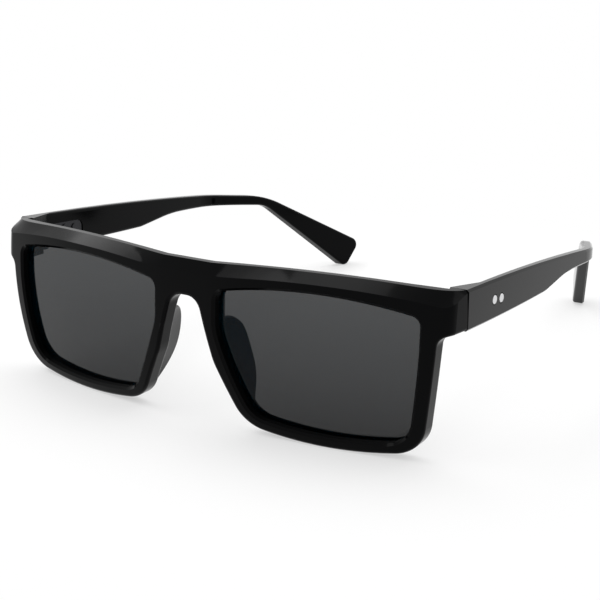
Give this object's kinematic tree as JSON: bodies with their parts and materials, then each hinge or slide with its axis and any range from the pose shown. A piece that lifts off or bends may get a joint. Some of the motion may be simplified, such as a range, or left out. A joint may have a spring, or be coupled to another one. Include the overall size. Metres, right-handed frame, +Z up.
{
  "type": "sunglasses",
  "caption": "Flat top sunglasses with a straight bevelled brow, dark lenses, built-up nose pads and arms that fold on three-barrel hinges.",
  "frame": {"origin": "on the plane that the open sunglasses stand on, midway between the two sides and midway from the front face to the tips of the arms", "axes": "+Z up, the lenses face -Y, the open arms run back along +Y, the wearer's left side is at +X"},
  "size_m": [0.1448, 0.1613, 0.0443],
  "materials": {
    "black_plastic": "glossy black moulded plastic",
    "smoke_lens": "dark smoke tint, polished",
    "hinge_metal": "nickel plated",
    "rivet_metal": "satin"
  },
  "bodies": {
    "front": {"front_frame": "black_plastic", "left_lens": "smoke_lens", "right_lens": "smoke_lens", "left_nose_pad": "black_plastic", "right_nose_pad": "black_plastic", "left_front_hinge": "hinge_metal", "right_front_hinge": "hinge_metal", "left_hinge_screw": "hinge_metal", "right_hinge_screw": "hinge_metal"},
    "left_arm": {"left_temple": "black_plastic", "left_temple_hinge": "hinge_metal", "left_front_rivet": "rivet_metal", "left_rear_rivet": "rivet_metal"},
    "right_arm": {"right_temple": "black_plastic", "right_temple_hinge": "hinge_metal", "right_front_rivet": "rivet_metal", "right_rear_rivet": "rivet_metal"}
  },
  "joints": [
    {"name": "left_arm_fold", "type": "hinge", "parent": "front", "child": "left_arm", "pos_m": [0.0659, -0.06245, 0.0374], "axis": [0, 0, 1], "range_deg": [0, 82]},
    {"name": "right_arm_fold", "type": "hinge", "parent": "front", "child": "right_arm", "pos_m": [-0.0659, -0.06245, 0.0374], "axis": [0, 0, 1], "range_deg": [-66, 0]}
  ]
}
